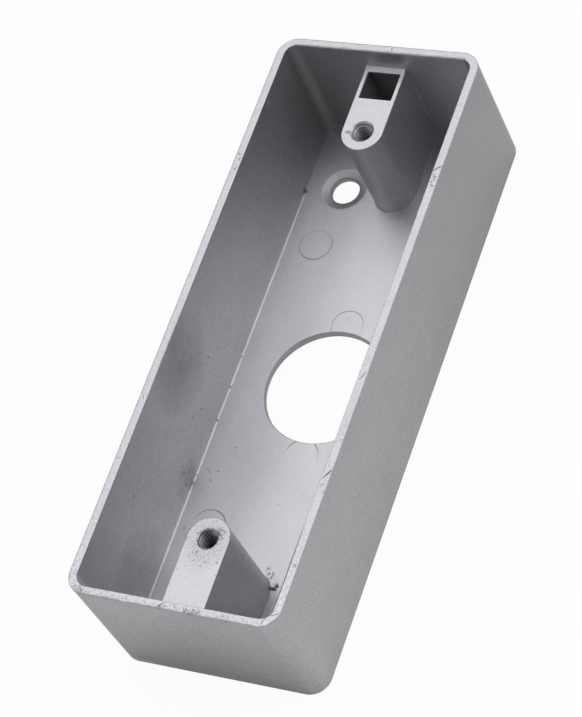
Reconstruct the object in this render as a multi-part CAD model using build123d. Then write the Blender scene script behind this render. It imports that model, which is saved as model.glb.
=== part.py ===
# Slim surface-mounting back box for a narrow control plate, cast in one piece.
# Origin at the centre of the base, +Z out of the open side, +Y along the length.
# Millimetres.
import os
from math import cos, radians, sin, tan

from build123d import *

# Outside of the box
box_length = 115.0
box_width = 40.0
box_height = 27.0
corner_radius = 3.7
base_edge_radius = 0.2

# Walls and floor; the cavity narrows by the draft on its way down
rim_wall = 1.5
cavity_draft = 0.5
floor_thickness = 1.5
floor_fillet = 0.4

# Two screw posts, one on each end wall, for the plate's screws
screw_spacing = 83.5
post_width = 8.0
post_drop = 4.75
post_side_fillet = 0.3
post_root_fillet = 0.7
post_root_turn = 78.0

# Tapped holes in the posts: M4, blind, modelled at the tapping drill's size
tapping_radius = 1.65
tapped_depth = 14.0
mouth_radius = 2.1
drill_point_angle = 118.0

# Square pocket that cores out the thick root of the far post
pocket_width = 6.5
pocket_length = 5.9
pocket_end_wall = 1.15
pocket_depth = 15.0

# Cable entry in the middle of the floor
cable_hole_radius = 11.5

# Two wall-screw holes in opposite corners of the floor, dished for the screw heads
wall_screw_radius = 2.75
wall_screw_dish_radius = 4.4
wall_screw_dish_depth = 0.5
wall_screw_lip_radius = 0.4
wall_screw_x = 10.5
wall_screw_spacing = 83.5

# Levels and half sizes that follow from the sizes above
post_top = box_height - post_drop
screw_y = screw_spacing / 2
post_height = post_top - floor_thickness
draft_inset = (box_height - floor_thickness) * tan(radians(cavity_draft))
cavity_length = box_length - 2 * rim_wall
cavity_width = box_width - 2 * rim_wall
cavity_corner = corner_radius - rim_wall
tolerance = 0.01


def outer_block():
    """The outside form: a straight prism with rounded upright corners and a softened base edge."""
    plan = RectangleRounded(box_width, box_length, corner_radius)
    block = extrude(plan, box_height)
    return fillet(block.faces().sort_by(Axis.Z)[0].outer_wire().edges(), base_edge_radius)


def cavity():
    """The space that the core of the mould leaves, a little narrower at the floor than at the rim."""
    mouth = Pos(Z=box_height) * RectangleRounded(cavity_width, cavity_length, cavity_corner)
    bottom = Pos(Z=floor_thickness) * RectangleRounded(
        cavity_width - 2 * draft_inset, cavity_length - 2 * draft_inset, cavity_corner - draft_inset
    )
    return loft([bottom, mouth])


def post_blank(end):
    """A post with a half-round nose round its screw hole, run back into the middle of the end wall.

    end is 1 for the far post and -1 for the near one.
    """
    root_y = (box_length - rim_wall) / 2
    run = root_y - screw_y
    nose = Pos(0, end * screw_y) * Circle(post_width / 2)
    back = Pos(0, end * (screw_y + run / 2)) * Rectangle(post_width, run)
    return extrude(Pos(Z=floor_thickness / 2) * (nose + back), post_top - floor_thickness / 2)


def tapped_hole(end):
    """What the tapping drill takes out of a post: the mouth's chamfer, the bore and the drill point."""
    mouth_depth = mouth_radius - tapping_radius
    point_depth = tapping_radius / tan(radians(drill_point_angle / 2))
    half_section = Polyline(
        (0, 0),
        (mouth_radius, 0),
        (tapping_radius, -mouth_depth),
        (tapping_radius, -tapped_depth),
        (0, -tapped_depth - point_depth),
        close=True,
    )
    turned = revolve(Plane.XZ * make_face(half_section), Axis.Z)
    return Pos(0, end * screw_y, post_top) * turned


def end_wall_face_y(level):
    """How far out the inner face of an end wall stands at a level, with its draft."""
    return cavity_length / 2 - (box_height - level) * tan(radians(cavity_draft))


def post_root(end):
    """The hollow fillet that carries a post's top up to the end wall, which it meets just short of upright."""
    turn = radians(post_root_turn)
    crest = post_top + post_root_fillet * (1 - cos(turn))
    wall_y = end_wall_face_y(crest)
    foot_y = wall_y - post_root_fillet * sin(turn)
    hollow = CenterArc((foot_y, post_top + post_root_fillet), post_root_fillet, 270, post_root_turn)
    inside = Polyline(
        hollow @ 1,
        (wall_y + rim_wall / 2, crest),
        (wall_y + rim_wall / 2, post_top - post_root_fillet),
        (foot_y, post_top - post_root_fillet),
        hollow @ 0,
    )
    section = Plane.YZ * make_face([hollow, inside])
    root = extrude(section, post_width / 2, both=True)
    return root if end > 0 else mirror(root, Plane.XZ)


def core_pocket():
    """The blind square pocket in the top of the far post, close behind the end wall's inner face."""
    pocket_y = end_wall_face_y(post_top) - pocket_end_wall - pocket_length / 2
    return Pos(0, pocket_y, post_top - pocket_depth / 2) * Box(pocket_width, pocket_length, pocket_depth)


def wall_screw_hole(end):
    """A clearance hole through the floor, with a shallow dish for the screw's head and a rounded lip."""
    lip = (wall_screw_radius, -wall_screw_dish_depth)
    outline = Polyline(
        (0, -floor_thickness),
        (wall_screw_radius, -floor_thickness),
        lip,
        (wall_screw_dish_radius, 0),
        (0, 0),
        close=True,
    )
    half_section = make_face(outline)
    half_section = fillet(half_section.vertices().sort_by_distance(lip)[0], wall_screw_lip_radius)
    turned = revolve(Plane.XZ * half_section, Axis.Z)
    return Pos(-end * wall_screw_x, end * wall_screw_spacing / 2, floor_thickness) * turned


def is_post_corner(edge):
    """True for an upright edge where the flat side of a post meets the end wall."""
    middle = edge.center()
    on_post_side = abs(abs(middle.X) - post_width / 2) < tolerance
    behind_nose = abs(middle.Y) > screw_y + tolerance
    return on_post_side and behind_nose and edge.bounding_box().size.Z > post_height - tolerance


def back_box():
    """The whole casting."""
    body = outer_block() - cavity() + [post_blank(end) for end in (1, -1)]
    body = fillet(body.edges().filter_by(is_post_corner), post_side_fillet)

    floor_face = body.faces().filter_by(Axis.Z).sort_by(Axis.Z)[1]
    body = fillet(floor_face.outer_wire().edges(), floor_fillet)

    body += [post_root(end) for end in (1, -1)]
    body -= [tapped_hole(end) for end in (1, -1)]
    body -= core_pocket()
    body -= Cylinder(cable_hole_radius, 2 * floor_thickness)
    body -= [wall_screw_hole(end) for end in (1, -1)]
    return body


casting = back_box()
os.makedirs("parts", exist_ok=True)
export_step(casting, "parts/back_box.step")
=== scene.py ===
"""A slim metal back box, cast in one piece, lying open side up on a pale floor in soft light."""

import functools
import math

import bpy
import numpy as np
from mathutils import Matrix, Vector


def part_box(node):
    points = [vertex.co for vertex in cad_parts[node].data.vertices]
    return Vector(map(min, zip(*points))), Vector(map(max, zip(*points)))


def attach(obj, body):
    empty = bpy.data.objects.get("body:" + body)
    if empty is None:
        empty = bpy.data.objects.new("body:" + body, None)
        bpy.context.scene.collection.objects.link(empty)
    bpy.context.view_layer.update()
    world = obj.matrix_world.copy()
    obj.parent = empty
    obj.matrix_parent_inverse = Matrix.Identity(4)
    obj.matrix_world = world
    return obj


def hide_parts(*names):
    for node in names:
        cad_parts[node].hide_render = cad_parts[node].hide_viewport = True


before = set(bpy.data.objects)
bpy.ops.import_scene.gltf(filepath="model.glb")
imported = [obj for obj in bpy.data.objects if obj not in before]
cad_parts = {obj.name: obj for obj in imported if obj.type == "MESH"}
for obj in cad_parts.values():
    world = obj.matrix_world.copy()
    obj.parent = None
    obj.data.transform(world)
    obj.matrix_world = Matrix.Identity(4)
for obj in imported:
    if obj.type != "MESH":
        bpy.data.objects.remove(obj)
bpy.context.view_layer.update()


# Camera
# It looks down over the near right corner of the box through a long lens, and is rolled
# so that the box runs from the lower left of the picture to the upper right.

mm = 0.001
camera_place = Vector((212.0, -203.9, 409.1)) * mm
camera_target = Vector((-1.99, -1.36, 13.5)) * mm
camera_roll = math.radians(-32.18)

camera_data = bpy.data.cameras.new("camera")
camera_data.lens = 140.0
camera_data.sensor_width = 36.0
camera_data.clip_start = 0.01
camera_data.clip_end = 20.0
camera = bpy.data.objects.new("camera", camera_data)
bpy.context.scene.collection.objects.link(camera)
level_look = (camera_target - camera_place).to_track_quat("-Z", "Y").to_matrix().to_4x4()
camera.matrix_world = Matrix.Translation(camera_place) @ level_look @ Matrix.Rotation(camera_roll, 4, "Z")
bpy.context.scene.camera = camera
bpy.context.scene.view_settings.view_transform = "Standard"


# Floor
# A plain white table top. The eye and the metal see it as white paper under the light,
# and it keeps the soft shadow that the box throws.


class Signal:
    """A shader socket used as a number: each operator adds one Math node to its tree."""

    def __init__(self, tree, socket):
        self.tree = tree
        self.socket = socket

    def math(self, operation, *terms):
        """A Math node on the terms, which are signals or plain numbers."""
        step = self.tree.nodes.new("ShaderNodeMath")
        step.operation = operation
        for entry, term in zip(step.inputs, terms):
            if isinstance(term, Signal):
                self.tree.links.new(term.socket, entry)
            else:
                entry.default_value = term
        return Signal(self.tree, step.outputs[0])

    def __add__(self, other):
        return self.math("ADD", self, other)

    def __sub__(self, other):
        return self.math("SUBTRACT", self, other)

    def __mul__(self, other):
        return self.math("MULTIPLY", self, other)

    def __truediv__(self, other):
        return self.math("DIVIDE", self, other)

    def __rsub__(self, other):
        return self.math("SUBTRACT", other, self)

    def __pow__(self, other):
        return self.math("POWER", self, other)

    def __abs__(self):
        return self.math("ABSOLUTE", self)

    __radd__ = __add__
    __rmul__ = __mul__

    def least(self, other):
        return self.math("MINIMUM", self, other)

    def most(self, other):
        return self.math("MAXIMUM", self, other)

    def ramp(self, start, end):
        """Climbs from 0 at start to 1 at end, and stays level outside them; end may lie below start."""
        return ((self - start) / (end - start)).most(0.0).least(1.0)


class Finish:
    """A material's node tree, and the one way in which a node is added to it."""

    def __init__(self, name):
        self.material = bpy.data.materials.new(name)
        self.material.use_nodes = True
        self.tree = self.material.node_tree
        self.tree.nodes.clear()

    def node(self, kind, settings=None, sockets=None):
        """Adds a node, sets its settings first and then gives its sockets their values or links."""
        made = self.tree.nodes.new(kind)
        for key, value in (settings or {}).items():
            setattr(made, key, value)
        for key, value in (sockets or {}).items():
            if isinstance(value, Signal):
                value = value.socket
            if isinstance(value, bpy.types.NodeSocket):
                self.tree.links.new(value, made.inputs[key])
            else:
                made.inputs[key].default_value = value
        return made

    def signal(self, node, output=0):
        """A node's output as a number to reckon with."""
        return Signal(self.tree, node.outputs[output])

    def surface(self, shader):
        """Ends the tree with the shader, and gives the finished material."""
        self.node("ShaderNodeOutputMaterial", sockets={"Surface": shader.outputs[0]})
        return self.material


def new_object(name, points, faces, material):
    """Makes a smooth shaded object of points in millimetres, whose own place stays at the origin."""
    mesh = bpy.data.meshes.new(name)
    mesh.from_pydata((np.asarray(points, float) * mm).tolist(), [], faces)
    mesh.materials.append(material)
    mesh.shade_smooth()
    made = bpy.data.objects.new(name, mesh)
    bpy.context.scene.collection.objects.link(made)
    return made


def table_top():
    """White: lit by the lamps, and partly shining by itself where the eye or a reflection meets it."""
    paper = (0.95, 0.95, 0.91, 1)
    eye_share = 0.96
    mirror_share = 0.1
    finish = Finish("table_top")
    path = finish.node("ShaderNodeLightPath")
    mirrored = finish.signal(path, "Is Glossy Ray").most(finish.signal(path, "Is Transmission Ray"))
    own_light = (finish.signal(path, "Is Camera Ray") * eye_share).most(mirrored * mirror_share)
    matt = finish.node("ShaderNodeBsdfDiffuse", sockets={"Color": paper})
    glow = finish.node("ShaderNodeEmission", sockets={"Color": (1, 1, 1, 1), "Strength": 1.0})
    blend = finish.node(
        "ShaderNodeMixShader", sockets={"Fac": own_light, 1: matt.outputs[0], 2: glow.outputs[0]}
    )
    return finish.surface(blend)


floor_reach = 3000.0
floor_corners = [
    (-floor_reach, -floor_reach, 0),
    (floor_reach, -floor_reach, 0),
    (floor_reach, floor_reach, 0),
    (-floor_reach, floor_reach, 0),
]
new_object("floor", floor_corners, [(0, 1, 2, 3)], table_top())


# Light
# Two large soft lamps hang behind the box, high on the left and lower on the right, a weaker
# one hangs in front on the left, and the room round them is nearly dark.


def softbox(place, power):
    """A square lamp of 1.2 m, in millimetres and watts, turned to face the box."""
    data = bpy.data.lights.new("softbox", "AREA")
    data.shape = "SQUARE"
    data.size = 1.2
    data.energy = power
    data.color = (0.945, 0.955, 1.0)
    lamp = bpy.data.objects.new("softbox", data)
    bpy.context.scene.collection.objects.link(lamp)
    place = Vector(place) * mm
    lamp.matrix_world = Matrix.Translation(place) @ (-place).to_track_quat("-Z", "Y").to_matrix().to_4x4()


softbox((-400, 500, 1100), 7.5)
softbox((900, 500, 800), 8.7)
softbox((-600, -700, 900), 4.2)

room = bpy.data.worlds.new("room")
room.use_nodes = True
room.node_tree.nodes["Background"].inputs["Color"].default_value = (0.06, 0.061, 0.058, 1)
bpy.context.scene.world = room


# Casting
# The whole box is one die casting in aluminium alloy: plain walls, two screw posts run into
# the end walls, and a floor with its holes. The rim and the post tops are ground flat.

box_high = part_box("back_box")[1] / mm
corner_radius = 3.7
rim_wall = 1.5
floor_top = 1.5
floor_fillet = 0.25
base_edge = 0.2
draft = math.tan(math.radians(0.5))
screw_y = 41.75
post_half = 4.0
post_top = box_high.z - 4.75
cable_radius = 11.5
wall_screw_x = 10.5


def cavity_inset(level):
    """How far the cavity's wall stands inside the outer face at a level, with its draft."""
    return rim_wall + (box_high.z - level) * draft


def arc(start, end, steps):
    """Angles from start to end degrees, both included, in radians."""
    return np.radians(np.linspace(start, end, steps + 1))


def wall_stations(steps, corner_steps):
    """Walks once round the rounded rectangle, anticlockwise from above, from the near right corner.

    A station has an anchor, one corner radius inside the outer face, and the direction straight
    out. Along a side the anchor moves, by that side's own step, and the direction holds; round a
    corner it is the reverse.
    """
    reach = np.array([box_high.x - corner_radius, box_high.y - corner_radius])
    corners = np.array([(1, -1), (1, 1), (-1, 1), (-1, -1), (1, -1)]) * reach
    anchors, angles = [], []
    for side in range(4):
        start, end = corners[side], corners[side + 1]
        count = math.ceil(np.linalg.norm(end - start) / steps[side])
        along = np.arange(count)[:, None] / count
        anchors += [start + (end - start) * along, np.repeat(end[None], corner_steps, 0)]
        turn = np.arange(corner_steps) / corner_steps
        angles += [np.full(count, side * np.pi / 2), (side + turn) * np.pi / 2]
    angles = np.concatenate(angles)
    return np.concatenate(anchors), np.stack([np.cos(angles), np.sin(angles)], 1)


def ragged(count, grain, seed):
    """Random swings within -1 to 1 round a closed line of count stations.

    It is the sum of three broken lines through random values, over the sum of their strengths: a
    value to every grain stations, then two of them at half strength, then four at a quarter.
    """
    chance = np.random.default_rng(seed)
    swing = np.zeros(count)
    shares = (1, 2, 4)
    for share in shares:
        knots = max(4, round(count * share / grain))
        values = chance.uniform(-1, 1, knots)
        line = np.append(values, values[0])
        swing += np.interp(np.arange(count) / count * knots, np.arange(knots + 1), line) / share
    return swing / sum(1 / share for share in shares)


def grid_faces(rows, columns):
    """Quads between neighbouring rows of points, with the last column joined to the first."""
    row, column = np.meshgrid(np.arange(rows - 1), np.arange(columns), indexing="ij")
    start, after = row * columns, (column + 1) % columns
    corners = (start + column, start + after, start + columns + after, start + columns + column)
    return np.stack(corners, -1).reshape(-1, 4).tolist()


def shell_mesh():
    """The box without its posts: one profile carried round the walls, closed by the base and the floor.

    The profile climbs the outer wall, rounds the rim's outer edge, crosses the rim, rounds its inner
    edge and drops down the cavity's wall to the floor. The radii of the two rim edges wander: the
    outer one is largest at the near end, and the inner one at the far end. The hollow at the floor
    is finer beyond the joint of the mould's insert near the far end.
    """
    anchors, outward = wall_stations((0.5, 0.2, 0.5, 0.14), 16)
    count = len(anchors)
    flat = np.full(count, 1.0)
    along = anchors[:, 1] * np.abs(outward[:, 1])
    end_start, end_run = 50, 3
    near_end = np.clip((-along - end_start) / end_run, 0, 1)
    far_end = np.clip((along - end_start) / end_run, 0, 1)

    def wander(mean, swing, grain, seed):
        """A radius for each station, which swings round its mean."""
        return mean + swing * ragged(count, grain, seed)

    least_outer, least_inner = 0.04, 0.03
    outer_edge = wander(0.13, 0.05, 5, 1) + near_end * wander(0.17, 0.2, 5, 2)
    outer_edge = np.maximum(outer_edge, least_outer)
    inner_edge = wander(0.08, 0.03, 4, 3) + near_end * wander(0.05, 0.06, 5, 4)
    inner_edge = np.maximum(inner_edge + far_end * wander(0.4, 0.22, 3, 5), least_inner)
    rim_end = rim_wall - inner_edge
    insert_joint, joint_run, finer = 40.2, 0.5, 0.13
    foot_round = floor_fillet - finer * np.clip((anchors[:, 1] - insert_joint) / joint_run, 0, 1)
    foot = floor_top + foot_round

    outer_levels = (1.5, 4, 8, 13, 18, 22, 24.5, 26, 26.5)
    across_rim = np.linspace(0, 1, 9)[1:-1]
    cavity_levels = (26.4, 26, 24, 21, 17, 13, 9, 5.5, 3)
    rows = [(base_edge * (1 - np.sin(a)) * flat, base_edge * (1 - np.cos(a)) * flat) for a in arc(0, 90, 5)]
    rows += [(0 * flat, level * flat) for level in outer_levels]
    rows += [
        (outer_edge * (1 - np.cos(a)), box_high.z - outer_edge * (1 - np.sin(a))) for a in arc(0, 90, 5)
    ]
    rows += [(outer_edge + (rim_end - outer_edge) * share, box_high.z * flat) for share in across_rim]
    rows += [
        (rim_wall - inner_edge * (1 - np.sin(a)), box_high.z - inner_edge * (1 - np.cos(a)))
        for a in arc(0, 90, 4)
    ]
    rows += [(cavity_inset(level) * flat, level * flat) for level in cavity_levels]
    rows += [
        (cavity_inset(foot) + foot_round * (1 - np.cos(a)), foot - foot_round * np.sin(a))
        for a in arc(0, 90, 6)
    ]
    inset = np.array([row[0] for row in rows])
    level = np.array([row[1] for row in rows])
    plan = anchors + (corner_radius - inset)[..., None] * outward
    points = np.concatenate([plan, level[..., None]], -1).reshape(-1, 3)
    faces = grid_faces(len(rows), count)
    base = np.arange(count)[::-1].tolist()
    floor = ((len(rows) - 1) * count + np.arange(count)).tolist()
    return points, faces + [base, floor]


def post_mesh(end):
    """A screw post: rings of one outline, from inside the floor up to the rounded top edge, and a ruled top.

    The outline is a half-round nose, two flat sides, and a small hollow flare where each side meets
    the end wall. Close to the wall the top climbs it as a hollow quarter round.
    """
    side_flare, least_flare, top_root, top_edge, foot_flare = 0.15, 0.05, 0.7, 0.12, 0.25
    sink = 0.6
    inside_wall = box_high.y - rim_wall / 2

    def ring(grow, level, climb):
        """The outline, grown outwards, at a level; climb is 1 where it follows the top up the wall."""
        wall_y = box_high.y - cavity_inset(level)
        flare = max(side_flare - grow, least_flare)
        turn = arc(90, 180, 6)
        flare_x = post_half + grow + flare * (1 + np.cos(turn))
        flare_y = wall_y - flare * (1 - np.sin(turn))
        side_y = np.linspace(wall_y - flare, screw_y, 16)[1:-1]
        nose = arc(0, -90, 16)
        nose_x = (post_half + grow) * np.cos(nose)
        nose_y = screw_y + (post_half + grow) * np.sin(nose)
        side_x = np.full(len(side_y), post_half + grow)
        x = np.concatenate([[post_half + side_flare], flare_x, side_x, nose_x])
        y = np.concatenate([[inside_wall], flare_y, side_y, nose_y])
        x, y = np.append(-x, x[-2::-1]), np.append(y, y[-2::-1])
        up_wall = np.clip(y - (wall_y - top_root), 0, top_root)
        rise = top_root - np.sqrt(top_root**2 - up_wall**2)
        return np.stack([x, y, level + climb * rise], -1)

    rings = [ring(foot_flare, floor_top - sink, 0)]
    rings += [
        ring(foot_flare * (1 - np.sin(a)), floor_top - 0.01 + foot_flare * (1 - np.cos(a)), 0)
        for a in arc(0, 90, 6)
    ]
    rings += [ring(0, level, 0) for level in (3, 6, 10, 14, 18, post_top - 1.5)]
    rings += [
        ring(-top_edge * (1 - np.cos(a)), post_top - top_edge * (1 - np.sin(a)), 1) for a in arc(0, 90, 4)
    ]
    count = len(rings[0])
    points = np.array(rings).reshape(-1, 3)
    faces = grid_faces(len(rings), count)
    faces.append(np.arange(count)[::-1].tolist())
    last = (len(rings) - 1) * count
    tip = count // 2
    side = np.arange(tip - 1)
    strips = np.stack([last + side, last + side + 1, last + count - 2 - side, last + count - 1 - side], -1)
    points[:, :2] *= end
    return points, faces + strips.tolist() + [[last + tip - 1, last + tip, last + tip + 1]]


def lathe(profile, steps, centre=(0, 0)):
    """Turns a profile of (radius, level) pairs about an upright axis, and caps its two end rings."""
    profile = np.array(profile, float)
    angles = np.arange(steps) / steps * 2 * np.pi
    x = centre[0] + profile[:, :1] * np.cos(angles)
    y = centre[1] + profile[:, :1] * np.sin(angles)
    points = np.stack([x, y, np.repeat(profile[:, 1:], steps, 1)], -1).reshape(-1, 3)
    top = ((len(profile) - 1) * steps + np.arange(steps)).tolist()
    return points, grid_faces(len(profile), steps) + [np.arange(steps)[::-1].tolist(), top]


def tap_mesh(end):
    """What the drill and the M4 tap take out of a post.

    The radius swings between the core and the crest of the thread as a triangular wave in height plus
    turn, with a tenth cut off its tips. It is never less than the mouth's chamfer, which is wider on
    the far post, and below the thread it closes in to the drill's point.
    """
    pitch, core, crest, depth, steps = 0.7, 1.62, 2.0, 13.0, 64
    mouth = 2.25 if end > 0 else 1.96
    above, drill_point, point_radius = 0.3, 0.9, 0.02
    levels = np.arange(above, -depth, -pitch / 12)
    turn = np.arange(steps) / steps
    wave = np.abs(((levels[:, None] / pitch - turn) % 1) * 2 - 1)
    radius = core + (crest - core) * np.clip(wave * 1.25 - 0.125, 0, 1)
    radius = np.maximum(radius, mouth + levels[:, None])
    radius = np.minimum(radius, core + 2 * np.clip(levels[:, None] + depth, 0, 1))
    levels = np.append(levels, -depth - drill_point)
    radius = np.vstack([radius, np.full(steps, point_radius)])
    angle = turn * 2 * np.pi
    x, y = radius * np.cos(angle), end * screw_y + radius * np.sin(angle)
    points = np.stack([x, y, post_top + np.repeat(levels[:, None], steps, 1)], -1)[::-1].reshape(-1, 3)
    last = (len(levels) - 1) * steps
    faces = grid_faces(len(levels), steps)
    return points, faces + [np.arange(steps)[::-1].tolist(), (last + np.arange(steps)).tolist()]


def pocket_mesh():
    """The square core behind the far post's hole: a rounded square prism, a little smaller at its foot."""
    half_x, half_y, round_off, depth, end_wall = 3.25, 2.95, 0.25, 15.0, 1.15
    foot_taper, edge_break, above = 0.12, 0.06, 0.5
    centre_y = box_high.y - cavity_inset(post_top) - end_wall - half_y
    turn = (np.arange(4)[:, None] + np.linspace(0, 1, 5)) * np.pi / 2
    sign = np.array([(1, 1), (-1, 1), (-1, -1), (1, -1)])[:, None]
    reach = np.array([half_x, half_y]) - round_off
    outline = (sign * reach + round_off * np.stack([np.cos(turn), np.sin(turn)], -1)).reshape(-1, 2)
    rings = []
    for level, grow in ((-depth, -foot_taper), (-edge_break, 0), (above, above + edge_break)):
        plan = outline + grow * np.sign(outline) + (0, centre_y)
        rings.append(np.column_stack([plan, np.full(len(plan), post_top + level)]))
    count = len(outline)
    faces = grid_faces(3, count) + [np.arange(count)[::-1].tolist(), (2 * count + np.arange(count)).tolist()]
    return np.concatenate(rings), faces


def cable_hole_mesh():
    """The cable entry, with a small break at its foot and a rounded edge inside the box."""
    foot, edge, past = 0.1, 0.3, 0.4
    profile = [(cable_radius + foot + past, -past), (cable_radius, foot)]
    profile += [
        (cable_radius + edge * (1 - np.cos(a)), floor_top + 0.005 - edge * (1 - np.sin(a)))
        for a in arc(0, 90, 6)
    ]
    profile.append((cable_radius + edge + 0.2, floor_top + past))
    return lathe(profile, 160)


def wall_screw_mesh(end):
    """A wall-screw hole with a shallow dish for the screw's head, a rounded lip and a soft outer edge."""
    hole, mouth, depth, lip, soft = 2.75, 4.4, 0.5, 0.4, 0.35
    below, above = 0.4, 0.3
    slope = math.atan(depth / (mouth - hole))
    lip_level = floor_top - depth - lip * math.tan(math.pi / 4 - slope / 2)
    lip_turn = arc(180, 90 + math.degrees(slope), 8)
    profile = [(hole, -below)]
    profile += [(hole + lip * (1 + np.cos(a)), lip_level + lip * np.sin(a)) for a in lip_turn]
    profile += [
        (mouth - soft + 2 * soft * share, floor_top + 0.004 - soft * math.tan(slope) * (1 - share) ** 2)
        for share in np.linspace(0, 1, 7)
    ]
    profile.append((mouth + soft + above, floor_top + above))
    return lathe(profile, 96, (-end * wall_screw_x, end * screw_y))


def ejector_ring_mesh(x, y, radius, half_line, mean, swing, deepest):
    """The thin line that the edge of an ejector pin leaves: a V groove, deepest at one angle in degrees.

    Its section has two corners just above the floor and one at the depth, which is the mean plus
    the swing times the cosine of the turn from the deepest angle. The last ring joins the first.
    """
    steps, above = 72, 0.03
    angles = (np.arange(steps) + 0.3) / steps * 2 * np.pi
    depth = mean + swing * np.cos(angles - math.radians(deepest))
    high = np.full(steps, above)
    rings = []
    for shift, level in ((-half_line, high), (0, -depth), (half_line, high)):
        plan_x = x + (radius + shift) * np.cos(angles)
        plan_y = y + (radius + shift) * np.sin(angles)
        rings.append(np.stack([plan_x, plan_y, floor_top + level], -1))
    quads = np.array(grid_faces(4, steps)) % (3 * steps)
    return np.concatenate(rings), quads.tolist()


def scratch_mesh(path, half_width, depth):
    """A scratch in the rim: a V section carried along a path of (x, y) points, shallow at both its ends.

    Its width and depth go with the sine of an angle that runs from first_turn to as far before pi.
    """
    path = np.array(path, float)
    run = np.gradient(path, axis=0)
    side = np.stack([-run[:, 1], run[:, 0]], 1) / np.linalg.norm(run, axis=1)[:, None]
    first_turn, over = 0.4, 0.03
    fade = np.sin(np.linspace(first_turn, np.pi - first_turn, len(path)))[:, None]
    low = np.hstack([path, box_high.z - depth * fade])
    high = np.full((len(path), 1), box_high.z + over)
    right = np.hstack([path - side * half_width * (1 + over / depth) * fade, high])
    left = np.hstack([path + side * half_width * (1 + over / depth) * fade, high])
    points = np.stack([right, low, left], 1).reshape(-1, 3)
    last = len(points) - 3
    return points, grid_faces(len(path), 3) + [[2, 1, 0], [last, last + 1, last + 2]]


def scuff(start, end, across, count, width, seed):
    """A scuffed patch of the rim: short slanting scratches side by side, at random places across a line."""
    chance = np.random.default_rng(seed)
    start, step = np.array(start, float), (np.array(end, float) - start) / count
    side = np.array([-step[1], step[0]]) / np.linalg.norm(step)
    strokes = []
    for place in range(count):
        middle = start + step * (place + chance.uniform(0.3, 0.7)) + side * chance.uniform(-across, across)
        half = step * chance.uniform(-0.3, 0.3) + side * chance.uniform(0.05, 0.35)
        half_width = width * chance.uniform(0.6, 1.4)
        strokes.append(scratch_mesh([middle - half, middle, middle + half], half_width, half_width * 1.1))
    return strokes


def joined(meshes):
    """Several separate closed meshes as one."""
    points, faces, start = [], [], 0
    for some_points, some_faces in meshes:
        points.append(some_points)
        faces += [[start + corner for corner in face] for face in some_faces]
        start += len(some_points)
    return np.concatenate(points), faces


def shape_with(piece, operation, mesh):
    """Joins a closed mesh to the piece, or cuts it away, with an exact Boolean applied at once."""
    tool = new_object("tool", *mesh, piece.data.materials[0])
    step = piece.modifiers.new("step", "BOOLEAN")
    step.operation = operation
    step.solver = "EXACT"
    step.object = tool
    done = bpy.data.meshes.new_from_object(piece.evaluated_get(bpy.context.evaluated_depsgraph_get()))
    piece.modifiers.clear()
    piece.data = done
    bpy.data.objects.remove(tool)


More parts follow.
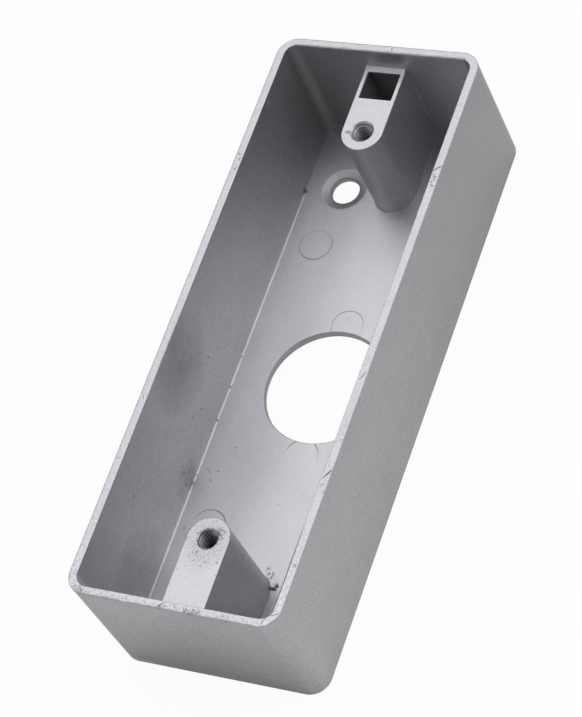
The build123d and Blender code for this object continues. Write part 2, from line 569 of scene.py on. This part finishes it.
def cast_metal():
    """Fine blasted alloy, duller on its outer skin, brighter where the rim and post tops are ground.

    Each mask is 0 to 1 over the surface and is worked from the place in millimetres. Grime and
    painted shade is the greatest of its layers: dirt in the scratches and rings, painted shade in the
    thread roots, the pocket, the cable entry's wall and along the right rim's inner lip, grit round the
    near tapped hole and at that post's foot, ragged dirt at the tapped holes' mouths and the rim's worn
    edges, smudges and a painted dark reflection on the left wall, specks and small cast pores, a mark
    at the mould insert's joint and a dark line on the far left edge. It darkens the metal and makes it
    rougher and less metallic. The brightness is fine and cloudy noise, times broad and gentle changes,
    which are painted light and shade: on the outer skin, on the floor by the left wall, on the left
    inner wall, on the near post's side and on the ground tops, and a painted highlight along the left
    wall's foot.
    """
    finish = Finish("cast_metal")
    place = finish.node("ShaderNodeTexCoord")
    axes = finish.node("ShaderNodeSeparateXYZ", sockets={"Vector": place.outputs["Object"]})
    x, y, z = (finish.signal(axes, axis) * 1000 for axis in range(3))

    def noise(size, detail=2.0):
        """Smooth noise of about 0 to 1, whose clouds are size millimetres across."""
        made = finish.node(
            "ShaderNodeTexNoise",
            sockets={"Vector": place.outputs["Object"], "Scale": 1000 / size, "Detail": detail},
        )
        return finish.signal(made)

    def specks(cell, reach):
        """Round dots, one to a cell of the given millimetres, each 0 to reach of the cell in radius."""
        made = finish.node(
            "ShaderNodeTexVoronoi", sockets={"Vector": place.outputs["Object"], "Scale": 1000 / cell}
        )
        tone = finish.node("ShaderNodeSeparateColor", sockets={"Color": made.outputs["Color"]})
        radius = finish.signal(tone) * reach
        return (radius - finish.signal(made, "Distance")).ramp(0, 0.06)

    def span(u, v):
        """The length of a step of (u, v)."""
        return (u * u + v * v) ** 0.5

    def spot(u, v, centre, radii):
        """1 in an ellipse's centre, less by the square of the way out to its edge, where it is 0."""
        across = (u - centre[0]) / radii[0]
        along = (v - centre[1]) / radii[1]
        return (across * across + along * along).ramp(1, 0)

    def greatest(*layers):
        """The greatest of several signals."""
        return functools.reduce(Signal.most, layers)

    def pores(u, v, places):
        """Small dots at places of (u, v, radius), each full out to 0.7 of its radius."""
        dots = [spot(u, v, (across, along), (radius, radius)) for across, along, radius in places]
        return greatest(*dots).ramp(0, 0.5)

    def blend(share, first, second, kind="MIX"):
        """Mixes or multiplies the second colour into the first, by a share of 0 to 1."""
        made = finish.node(
            "ShaderNodeMix", {"data_type": "RGBA", "blend_type": kind}, {0: share, 6: first, 7: second}
        )
        return made.outputs[2]

    # Where a point lies: how far inside the outer face, from each hole and from each level
    over_x = (abs(x) - (box_high.x - corner_radius)).most(0)
    over_y = (abs(y) - (box_high.y - corner_radius)).most(0)
    inset = corner_radius - span(over_x, over_y)
    from_entry = span(x, y) - cable_radius
    to_tap = span(x, abs(y) - screw_y)
    to_far_screw = span(x + wall_screw_x, y - screw_y)
    to_near_screw = span(x - wall_screw_x, y + screw_y)
    below_rim, below_post, above_floor = box_high.z - z, post_top - z, z - floor_top

    on_top = below_rim.ramp(0.12, 0.02)
    on_post = abs(below_post).ramp(0.12, 0.03) * inset.ramp(1.6, 2.2)
    on_floor = above_floor.ramp(0.12, 0.03)
    on_left_wall = x.ramp(-17.4, -17.8) * inset.ramp(1.2, 1.4)
    outside = inset.ramp(0.25, 0.1) * (1 - on_top)
    ground = on_top.most(on_post)
    within_walls = inset.ramp(1.6, 1.7)

    # Darkening in what is cut or cast below the surface: dirt in the rim's scratches and the ejector rings,
    # and painted shade in the thread roots, the pocket and the cable entry's wall
    flat_start = 0.22 + y.ramp(-55.5, -56.3) * 0.24
    flat_end = 1.3 - y.ramp(54.5, 55.5) * 0.55
    rim_groove = below_rim.ramp(0.01, 0.05) * below_rim.ramp(0.5, 0.4)
    rim_groove = rim_groove * (inset - flat_start).ramp(0, 0.06) * (flat_end - inset).ramp(0, 0.08)
    floor_groove = above_floor.ramp(-0.01, -0.05) * above_floor.ramp(-0.3, -0.25) * within_walls
    floor_groove = floor_groove * from_entry.ramp(0.4, 0.5)
    floor_groove = floor_groove * to_far_screw.ramp(4.6, 4.7) * to_near_screw.ramp(4.6, 4.7)
    # Painted shade: the tapped holes' thread roots are darkened, the near one more.
    painted_thread_shade = to_tap.ramp(1.67, 1.78) * to_tap.ramp(2.2, 2.1) * below_post.ramp(0.15, 0.35)
    near_painted_thread_shade = painted_thread_shade * y.ramp(0, -1)
    # Painted shade on the cable entry's wall.
    entry_painted_shade = from_entry.ramp(0.15, 0.1)
    # Painted shade in the far post's pocket, strongest just below its mouth and weaker further down.
    pocket_y = 51.9
    pocket_painted_shade = abs(x).ramp(3.45, 3.35) * abs(y - pocket_y).ramp(3.1, 3.0) * below_post.ramp(0.05, 0.6)
    pocket_painted_shade = pocket_painted_shade * (0.85 - below_post.ramp(1.5, 9) * 0.75)

    # Grit round the near tapped hole and at its post's foot
    around = to_tap.ramp(6.5, 2.0)
    to_right = spot(x, y, (1.75, -40.4), (1.2, 1.4))
    fine_grit = (noise(0.2, 1.0) + around * 0.05).ramp(0.52, 0.72) * around
    coarse_grit = specks(0.55, 0.4) * (noise(1.3, 1.0) + around * 0.25).ramp(0.58, 0.66)
    small_grit = specks(0.36, 0.42) * (noise(0.9, 1.0) + around * 0.25).ramp(0.56, 0.66)
    coarse_grit = coarse_grit.most(small_grit * 0.75)
    blots = (noise(0.36, 2.0) + to_right * 0.25).ramp(0.66, 0.76) * to_right.ramp(0.05, 0.2)
    near_mouth = (noise(0.3, 2.0) + to_tap.ramp(2.4, 1.9) * 0.2).ramp(0.62, 0.74) * to_tap.ramp(2.6, 2.3)
    grit = greatest(fine_grit * 0.35, coarse_grit * 0.55, near_mouth * 0.6, blots * 0.7)
    grit = grit * on_post * y.ramp(0, -1)
    blob = spot(x, y, (4.25, -40.25), (0.9, 0.48)).most(spot(x, y, (4.8, -39.6), (0.42, 0.55)))
    blob = (blob + noise(0.4, 2.0) * 0.9).ramp(0.85, 1.0)
    trail = specks(0.42, 0.8) * spot(x + (y + 38) * 0.6, y, (3.1, -38.3), (1.0, 2.5)).ramp(0.0, 0.3)
    trail = trail * noise(0.7, 1.0).ramp(0.28, 0.44)
    foot_dirt = blob.most(trail * 0.62) * above_floor.ramp(1.2, 0.6)

    # Dirt on the rim's worn edges and at the far tapped hole's mouth, and painted shade along the right
    # rim's inner lip
    worn_corner = spot(x, y, (-16.8, -56.5), (1.7, 1.1))
    worn_edge = spot(x, y, (4.6, -57.0), (2.8, 0.7)).most(spot(x, y, (-1.2, -57.0), (1.4, 0.7)) * 0.7)
    worn = worn_corner.most(worn_edge)
    rim_dirt = (noise(0.4, 2.0) + worn * 0.22).ramp(0.64, 0.76) * worn.ramp(0.05, 0.3)
    rim_dirt = rim_dirt * below_rim.ramp(0.6, 0.4)
    rim_spot = spot(x, y, (19.55, -45.8), (0.42, 0.42)) * on_top
    # Painted shade: a dark line along the right rim's rounded inner edge towards the near end.
    painted_inner_lip_shade = inset.ramp(1.2, 1.34) * below_rim.ramp(0.5, 0.3) * x.ramp(17, 18) * y.ramp(-36, -44)
    painted_inner_lip_shade = painted_inner_lip_shade * (noise(1.2) + 0.2).ramp(0.35, 0.6)
    far_left = x.ramp(-19.5, -19.7).most(y.ramp(57, 57.2))
    edge_line = inset.ramp(0.24, 0.12) * below_rim.ramp(0.4, 0.2) * far_left
    left_mark = spot(x, y, (-2.6, 41.3), (0.9, 0.5)) + noise(0.25, 1.0)
    far_mouth = (noise(0.3, 2.0) + to_tap.ramp(2.5, 2.3) * 0.08).ramp(0.62, 0.75) * to_tap.ramp(2.5, 2.3)
    far_mouth = far_mouth.most(left_mark.ramp(0.9, 1.1)) * on_post * y.ramp(0, 1)

    # Specks, smudges, a painted dark reflection and cast pores on the left wall and the floor
    speckled = spot(x, y, (-15.5, -19.5), (5, 7))
    floor_specks = specks(0.9, 0.26) * (noise(1.5) + speckled * 0.3).ramp(0.6, 0.75) * on_floor
    loose_specks = specks(2.9, 0.09) * (1 - ground)
    # Smudges on the left wall; the broad patch high up near its middle is a painted dark reflection.
    smudge_and_dark_reflection = spot(y, z, (-23.2, 4.0), (4.5, 3.6)) * noise(1.6, 3.0).ramp(0.35, 0.7) * 0.5
    smudge_and_dark_reflection = smudge_and_dark_reflection + spot(y, z, (-45, 8), (10, 9)) * noise(5.0, 1.0).ramp(0.0, 0.8) * 0.25
    smudge_and_dark_reflection = smudge_and_dark_reflection + spot(y, z, (-9.5, 21), (10, 10)) * noise(4.0, 2.0).ramp(0.0, 0.7) * 0.34
    smudge_and_dark_reflection = smudge_and_dark_reflection * on_left_wall
    joint_mark = spot(x, y, (-18.15, 40.3), (0.5, 0.55)).ramp(0, 0.4) * above_floor.ramp(1.1, 0.6)
    wall_places = [(-11.3, 8.1, 0.4), (-14.0, 9.8, 0.3), (-3.0, 12.6, 0.35), (-34.9, 19.0, 0.3)]
    floor_places = [(-14.3, -19.8, 0.28), (-15.1, -21.8, 0.3), (-16.0, -20.1, 0.25), (-16.6, -31.8, 0.28)]
    foot_places = [(-18.15, -2.8, 0.3), (-18.15, -9.9, 0.3), (-18.15, 3.7, 0.22), (-18.15, -22.9, 0.3)]
    cast_pores = greatest(
        pores(y, z, wall_places) * on_left_wall,
        pores(x, y, floor_places) * on_floor * 0.75,
        pores(x, y, foot_places) * above_floor.ramp(0.6, 0.3) * within_walls,
    )

    # Dirt, grit and marks, together with painted shade and a painted dark reflection, darken the metal.
    grime_and_painted_shade = greatest(
        rim_groove * 0.7,
        floor_groove * 0.25,
        near_painted_thread_shade * 0.82,
        painted_thread_shade * 0.5,
        pocket_painted_shade,
        entry_painted_shade * 0.12,
        grit,
        foot_dirt * 0.8,
        rim_dirt * 0.34,
        rim_spot * 0.35,
        painted_inner_lip_shade * 0.55,
        edge_line * 0.4,
        far_mouth * 0.4,
        floor_specks * 0.5,
        loose_specks * 0.5,
        smudge_and_dark_reflection,
        joint_mark * within_walls * 0.5,
        cast_pores * 0.45,
    )

    # Brightness: noise first, then painted light and shade on the outer skin, the floor, the left wall, the
    # near post's side and the ground tops, and a painted highlight at the left wall's foot
    grainy = noise(0.35, 1.0) * 0.42 + noise(0.9, 1.0) * 0.16 - 0.29
    calm = (on_post.most(on_floor) * 0.6).most(outside * y.ramp(0, 45) * 0.45)
    bright = noise(7.0, 3.0) * 0.12 + 0.94 + grainy * (1 - calm)
    bright = bright + (noise(0.6, 3.0) - 0.5) * on_top * y.ramp(-30, -52) * 0.7
    right_side = x.ramp(16.8, 19.9)
    near_side = y.ramp(-54.5, -57.3)
    # Painted light and shade on the outer skin: a little darker all round, the right wall lighter low down
    # and towards the near end and darker towards the far end, and the near wall darker towards its foot as a
    # painted contact shadow.
    painted_skin_light_and_shade = right_side * (0.17 - z.ramp(0, 27) * 0.16 - y.ramp(-60, 60) ** 2 * 0.27) - 0.06
    painted_skin_light_and_shade = painted_skin_light_and_shade + near_side * (0.06 - z.ramp(22, 0) * 0.17)
    # Painted highlight: a bright line where the floor meets the left wall, short of the far end.
    painted_foot_highlight = x.ramp(-17.95, -18.0) * above_floor.ramp(0.3, 0.25) * within_walls * y.ramp(40, 39)
    left_side = x.ramp(-17, -18) * (1 - on_floor) * (1 - outside)
    # Painted shade on the left inner wall: darker low down away from the ends, more towards the far end, and
    # a little all over.
    left_wall_painted_shade = z.ramp(14, 4) * abs(y).ramp(48, 30) * 0.12 + y.ramp(30, 50) * 0.06 + 0.03
    # Painted shade on the near post's right face.
    post_side_painted_shade = x.ramp(3.7, 4.0) * x.ramp(4.4, 4.1) * y.ramp(-41.5, -44) * (1 - on_floor)
    light_pore = pores(y, z, [(43.6, 25.6, 0.4)]) * on_left_wall
    # Painted light: the floor is lighter towards the left wall.
    bright = bright * (1 + outside * painted_skin_light_and_shade + on_floor * x.ramp(-8, -15) * 0.2 + painted_foot_highlight * 0.3)
    bright = bright * (1 - (left_side * left_wall_painted_shade + post_side_painted_shade * 0.07) * (1 - ground))
    # Painted light: the rim and post tops are lighter towards the near end.
    bright = bright * (1 + ground * y.ramp(-25, -50) * 0.05 + light_pore)

    metal = (0.618, 0.62, 0.631, 1)
    skin = (0.578, 0.583, 0.596, 1)
    # The colour of the dirt and of the painted shade.
    dirt_and_shade_colour = (0.05, 0.048, 0.045, 1)
    shade = finish.node("ShaderNodeCombineColor", sockets={0: bright, 1: bright, 2: bright})
    colour = blend(ground, blend(outside, metal, skin), metal)
    colour = blend(1.0, colour, shade.outputs[0], "MULTIPLY")
    colour = blend(grime_and_painted_shade, colour, dirt_and_shade_colour)
    grain = noise(0.3, 3.0) + noise(1.3, 2.0) * 0.6
    bump = finish.node("ShaderNodeBump", sockets={"Strength": 0.35, "Distance": 0.00002, "Height": grain})
    shader = finish.node(
        "ShaderNodeBsdfPrincipled",
        sockets={
            "Base Color": colour,
            "Metallic": 1 - grime_and_painted_shade * 0.8,
            "Roughness": 0.5 + grime_and_painted_shade * 0.3,
            "Normal": bump.outputs[0],
        },
    )
    return finish.surface(shader)


casting = new_object("casting", *shell_mesh(), cast_metal())
shape_with(casting, "UNION", joined([post_mesh(1), post_mesh(-1)]))
cuts = [tap_mesh(1), tap_mesh(-1), pocket_mesh(), cable_hole_mesh(), wall_screw_mesh(1), wall_screw_mesh(-1)]
shape_with(casting, "DIFFERENCE", joined(cuts))

# The ejector pins' rings: centre, radius, half the line's width, mean depth, swing and deepest angle
ring_places = [
    (-12.1, 29.1, 3.2, 0.34, 0.06, 0.015, -80),
    (12.1, 29.1, 3.2, 0.13, 0.05, 0.03, 45),
    (-12.25, -30.7, 3.3, 0.13, 0.055, 0.05, 50),
    (12.25, -30.7, 3.3, 0.13, 0.05, 0.03, 200),
    (0.0, 13.1, 3.05, 0.12, 0.045, 0.015, 140),
    (0.3, -14.2, 3.2, 0.14, 0.03, 0.055, 95),
]
shape_with(casting, "DIFFERENCE", joined([ejector_ring_mesh(*place) for place in ring_places]))

# Scratches in the rim, each a path and half a width, and scuffed patches: start, end, reach across,
# number of scratches, width and seed
scratch_depth = 0.12
long_scratches = [
    ([(17.9, 31.3), (18.6, 32.1), (19.3, 32.9), (19.9, 33.3), (20.7, 33.7)], 0.1),
    ([(18.6, -10.5), (19.2, -9.9), (19.5, -9.3), (19.68, -8.4)], 0.08),
    ([(19.5, -22.2), (19.8, -22.0), (20.2, -21.8)], 0.07),
    ([(18.7, -29.7), (19.5, -28.4), (20.4, -26.9)], 0.15),
    ([(18.95, -31.3), (19.1, -30.6), (19.5, -30.3)], 0.07),
    ([(19.5, -32.3), (19.9, -31.9), (19.75, -31.4)], 0.07),
    ([(2.25, 55.9), (2.35, 56.7), (2.2, 57.7)], 0.09),
    ([(-2.4, -57.7), (-1.4, -56.8), (-0.6, -56.1)], 0.1),
    ([(0.7, -56.2), (1.2, -56.6), (1.5, -57.1)], 0.08),
    ([(17.8, -55.6), (17.4, -56.6), (17.1, -57.6)], 0.09),
    ([(17.9, -55.2), (18.8, -55.0), (19.4, -54.7), (20.3, -54.2)], 0.07),
    ([(19.35, -55.85), (19.65, -55.4), (19.85, -54.95)], 0.13),
    ([(-19.6, -19.0), (-19.2, -19.8), (-18.9, -20.2)], 0.06),
    ([(-19.65, 31.7), (-19.4, 31.2), (-19.05, 31.4)], 0.12),
    ([(-19.15, 29.9), (-18.95, 30.3), (-18.85, 30.7)], 0.12),
    ([(-19.4, 27.8), (-19.1, 28.1), (-18.85, 28.5)], 0.12),
    ([(-19.6, -32.2), (-19.3, -31.8), (-18.95, -31.6)], 0.06),
]
scuffs = [
    scuff((19.1, 28.4), (19.1, 31.6), 0.4, 8, 0.12, 11),
    scuff((2.0, -56.9), (6.4, -56.9), 0.35, 7, 0.06, 13),
    scuff((-18.6, -56.5), (-16.4, -57.0), 0.2, 7, 0.07, 14),
    scuff((-16.0, -57.1), (-4.0, -57.1), 0.2, 17, 0.065, 15),
    scuff((9.0, -57.0), (15.5, -57.0), 0.3, 7, 0.065, 16),
]
scratches = [scratch_mesh(path, half_width, scratch_depth) for path, half_width in long_scratches]
shape_with(casting, "DIFFERENCE", joined(scratches + sum(scuffs, [])))

casting.data.set_sharp_from_angle(angle=math.radians(28))
even_shading = casting.modifiers.new("even_shading", "WEIGHTED_NORMAL")
even_shading.keep_sharp = True
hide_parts("back_box")
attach(casting, "root")
